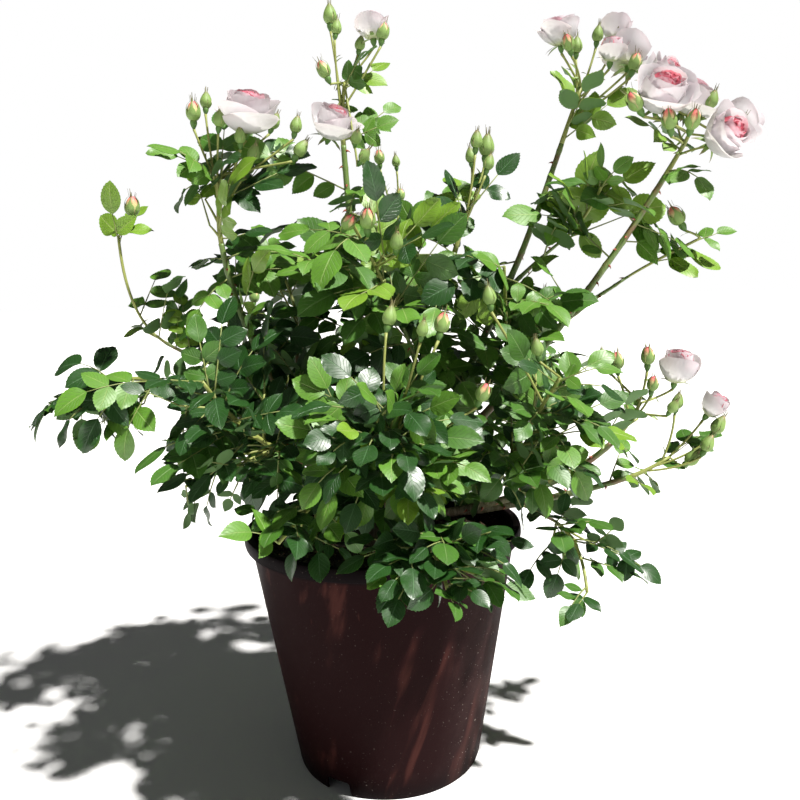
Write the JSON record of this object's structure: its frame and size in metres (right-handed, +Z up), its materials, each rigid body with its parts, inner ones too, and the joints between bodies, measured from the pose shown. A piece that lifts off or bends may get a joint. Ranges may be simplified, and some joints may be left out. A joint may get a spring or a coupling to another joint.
{
  "type": "potted rose bush",
  "caption": "Flowering rose bush in a round tapered nursery pot: arching canes from one root crown, leafy sprays on all sides, pale blooms and buds at the shoot tips.",
  "frame": {"origin": "centre of the pot's foot, on the ground that it stands on", "axes": "+Z up, -Y towards the viewer of the picture, +X to that viewer's right"},
  "size_m": [0.7024, 0.4667, 0.7615],
  "materials": {
    "pot_plastic": "dark maroon-brown moulded plastic, satin, dusty and scuffed in places",
    "potting_mix": "dark moist potting mix with bark crumbs",
    "old_bark": "grey-brown ridged old bark",
    "green_bark": "smooth green young bark with a red-brown tint, greyer towards the foot",
    "foliage": "glossy mid-green leaves, white to pale pink blooms, green buds with pink tips"
  },
  "bodies": {
    "root": {"bough_back_top": "green_bark", "bough_centre_right": "green_bark", "bough_front_left_low": "green_bark", "bough_front_low": "green_bark", "bough_left_low": "green_bark", "bough_left_shoot": "green_bark", "bough_right_droop": "green_bark", "bough_right_leaves": "green_bark", "bough_right_side": "green_bark", "bough_upper_front": "green_bark", "bough_upper_left": "green_bark", "bough_upper_right": "green_bark", "cane_back_left": "green_bark", "cane_back_low": "green_bark", "cane_back_right": "green_bark", "cane_centre_front": "green_bark", "cane_centre_left": "green_bark", "cane_left_far": "green_bark", "cane_left_top": "green_bark", "cane_mid_shoot": "green_bark", "cane_right_low": "green_bark", "cane_right_mid": "green_bark", "cane_right_tall_1": "green_bark", "cane_right_tall_2": "green_bark", "cane_top": "green_bark", "foliage_back_left": "foliage", "foliage_back_low": "foliage", "foliage_back_right": "foliage", "foliage_back_top": "foliage", "foliage_centre_front": "foliage", "foliage_centre_left": "foliage", "foliage_centre_right": "foliage", "foliage_front_left_low": "foliage", "foliage_front_low": "foliage", "foliage_left_far": "foliage", "foliage_left_low": "foliage", "foliage_left_shoot": "foliage", "foliage_left_top": "foliage", "foliage_mid_shoot": "foliage", "foliage_right_droop": "foliage", "foliage_right_leaves": "foliage", "foliage_right_low": "foliage", "foliage_right_mid": "foliage", "foliage_right_side": "foliage", "foliage_right_tall_1": "foliage", "foliage_right_tall_2": "foliage", "foliage_top": "foliage", "foliage_upper_front": "foliage", "foliage_upper_left": "foliage", "foliage_upper_right": "foliage", "pot": "pot_plastic", "root_crown": "old_bark", "soil": "potting_mix"}
  },
  "joints": []
}
